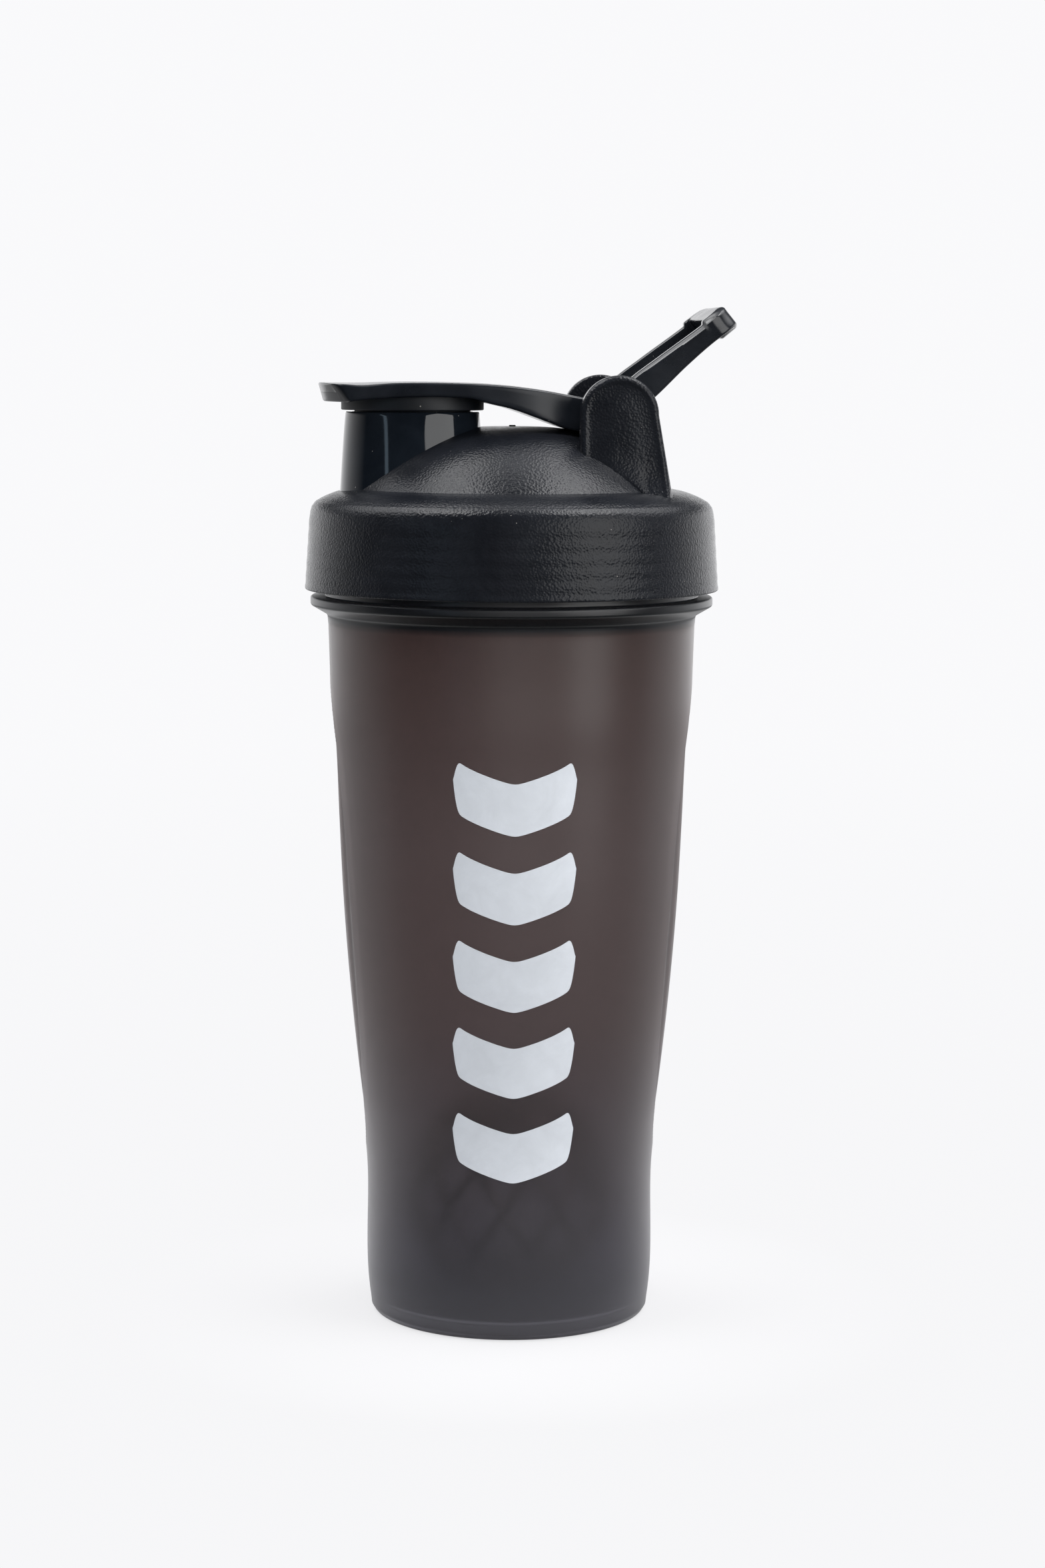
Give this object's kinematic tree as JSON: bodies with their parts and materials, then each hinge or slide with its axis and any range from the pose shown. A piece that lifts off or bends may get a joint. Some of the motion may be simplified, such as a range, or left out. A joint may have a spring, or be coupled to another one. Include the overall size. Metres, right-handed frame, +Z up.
{
  "type": "protein shaker bottle",
  "caption": "Smoky translucent shaker bottle with a black screw lid, flip cap over a drinking spout, swinging carry loop and a wire whisk ball inside.",
  "frame": {"origin": "centre of the base, on the surface the bottle stands on (the flat base panel is 1 mm above it, inside the foot ring)", "axes": "+Z up along the cup's axis, -X towards the drinking spout, +X towards the hinge, hinge axis along Y, front towards -Y"},
  "size_m": [0.1004, 0.098, 0.2407],
  "materials": {
    "cup_plastic": "smoky translucent polypropylene, satin",
    "lid_plastic": "black, fine spark-eroded grain, spout polished",
    "cap_plastic": "black, satin to semi-gloss",
    "loop_plastic": "black, gloss",
    "gasket_rubber": "soft silicone",
    "whisk_wire": "drawn stainless wire"
  },
  "bodies": {
    "cup": {"cup": "cup_plastic"},
    "gasket": {"lid_gasket": "gasket_rubber"},
    "lid": {"lid": "lid_plastic"},
    "cap": {"flip_cap": "cap_plastic"},
    "loop": {"carry_loop": "loop_plastic"},
    "ball": {"whisk_ball": "whisk_wire"}
  },
  "joints": [
    {"name": "lid_rise", "type": "slide", "parent": "cup", "child": "gasket", "axis": [0, 0, 1], "range_m": [0, 0.0066]},
    {"name": "lid_turn", "type": "hinge", "parent": "gasket", "child": "lid", "pos_m": [0, 0, 0.185], "axis": [0, 0, 1], "range_deg": [0, 390]},
    {"name": "cap_flip", "type": "hinge", "parent": "lid", "child": "cap", "pos_m": [0.02305, 0, 0.2156], "axis": [0, 1, 0], "range_deg": [0, 100]},
    {"name": "loop_swing", "type": "hinge", "parent": "lid", "child": "loop", "pos_m": [0.02305, 0, 0.2156], "axis": [0, 1, 0], "range_deg": [-10, 70]},
    {"name": "ball_rattle", "type": "slide", "parent": "cup", "child": "ball", "axis": [0, 0, 1], "range_m": [0, 0.145]}
  ],
  "couplings": [
    {"joint": "lid_rise", "follows": "lid_turn", "m_per_rad": 0.00095493}
  ]
}
